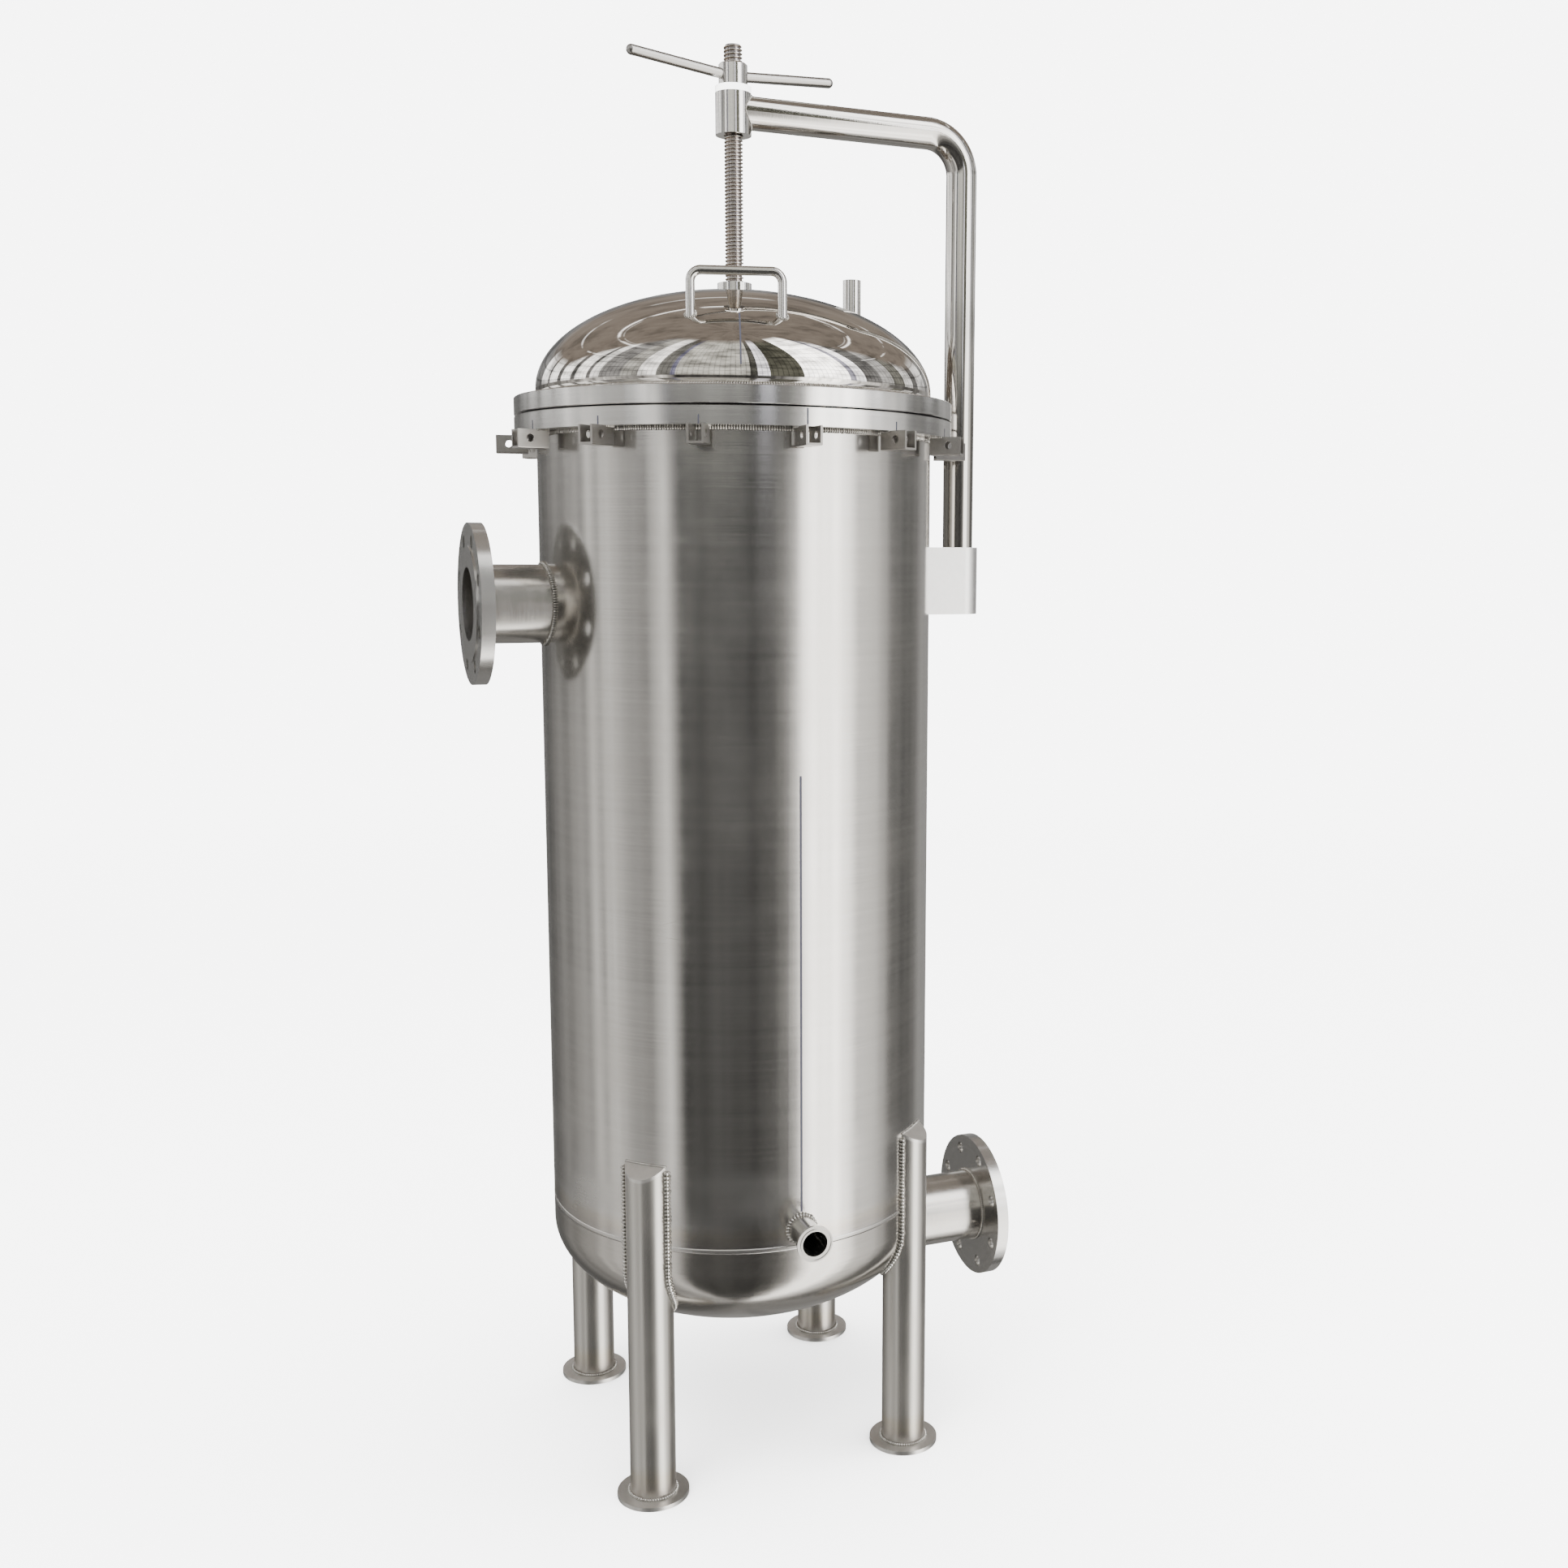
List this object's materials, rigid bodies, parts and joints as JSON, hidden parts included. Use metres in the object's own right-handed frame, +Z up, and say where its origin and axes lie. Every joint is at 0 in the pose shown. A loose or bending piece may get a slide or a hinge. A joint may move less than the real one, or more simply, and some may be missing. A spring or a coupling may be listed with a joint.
{
  "type": "bag filter housing",
  "caption": "Stainless multi-bag filter housing on tube legs, with flanged inlet and outlet, a clamp drain and a domed lid lifted and swung aside by a screw davit.",
  "frame": {"origin": "on the floor at the vessel's vertical axis", "axes": "+Z up; the inlet faces -X, the outlet and the davit mast +X, the drain -Y"},
  "size_m": [0.784, 0.666, 2.0025],
  "materials": {
    "stainless": "satin ground stainless sheet, tube and ring",
    "polished_stainless": "mirror-polished stainless",
    "seal_rubber": "black O-ring",
    "white_plastic": "white bearing plastic",
    "felt": "needle felt"
  },
  "bodies": {
    "vessel": {"shell": "stainless", "bottom_head": "stainless", "body_flange": "stainless", "o_ring": "seal_rubber", "bolt_lugs": "stainless", "inlet_neck": "stainless", "inlet_flange": "stainless", "outlet_neck": "stainless", "outlet_flange": "stainless", "drain_tube": "stainless", "drain_ferrule": "stainless", "bag_plate": "stainless", "hold_down_spider": "stainless", "hold_down_stud": "stainless", "hold_down_nut": "stainless", "davit_bracket": "stainless", "davit_socket": "stainless", "davit_socket_base": "stainless", "leg_1": "stainless", "leg_cap_1": "stainless", "foot_plate_1": "stainless", "leg_2": "stainless", "leg_cap_2": "stainless", "foot_plate_2": "stainless", "leg_3": "stainless", "leg_cap_3": "stainless", "foot_plate_3": "stainless", "leg_4": "stainless", "leg_cap_4": "stainless", "foot_plate_4": "stainless", "basket_1": "stainless", "filter_bag_1": "felt", "basket_2": "stainless", "filter_bag_2": "felt", "basket_3": "stainless", "filter_bag_3": "felt", "basket_4": "stainless", "filter_bag_4": "felt"},
    "davit": {"davit_mast": "polished_stainless", "lift_sleeve": "polished_stainless", "thrust_washer": "white_plastic"},
    "nut": {"tee_nut": "polished_stainless", "tee_bar_mast_side": "polished_stainless", "tee_bar_inlet_side": "polished_stainless"},
    "lid": {"lid_flange": "stainless", "lid_dome": "polished_stainless", "lid_handle_front": "polished_stainless", "lid_handle_back": "polished_stainless", "lid_vent": "stainless", "lid_boss": "polished_stainless", "lift_screw": "polished_stainless"}
  },
  "joints": [
    {"name": "davit_swing", "type": "hinge", "parent": "vessel", "child": "davit", "pos_m": [0.35, 0, 1.27], "axis": [0, 0, 1], "range_deg": [-110, 110]},
    {"name": "lid_lift", "type": "slide", "parent": "davit", "child": "lid", "axis": [0, 0, 1], "range_m": [0, 0.1]},
    {"name": "nut_spin", "type": "hinge", "parent": "davit", "child": "nut", "pos_m": [0, 0, 1.96], "axis": [0, 0, 1], "range_deg": [-7200, 0]}
  ],
  "couplings": [
    {"joint": "nut_spin", "follows": "lid_lift", "rad_per_m": -1256.6}
  ]
}
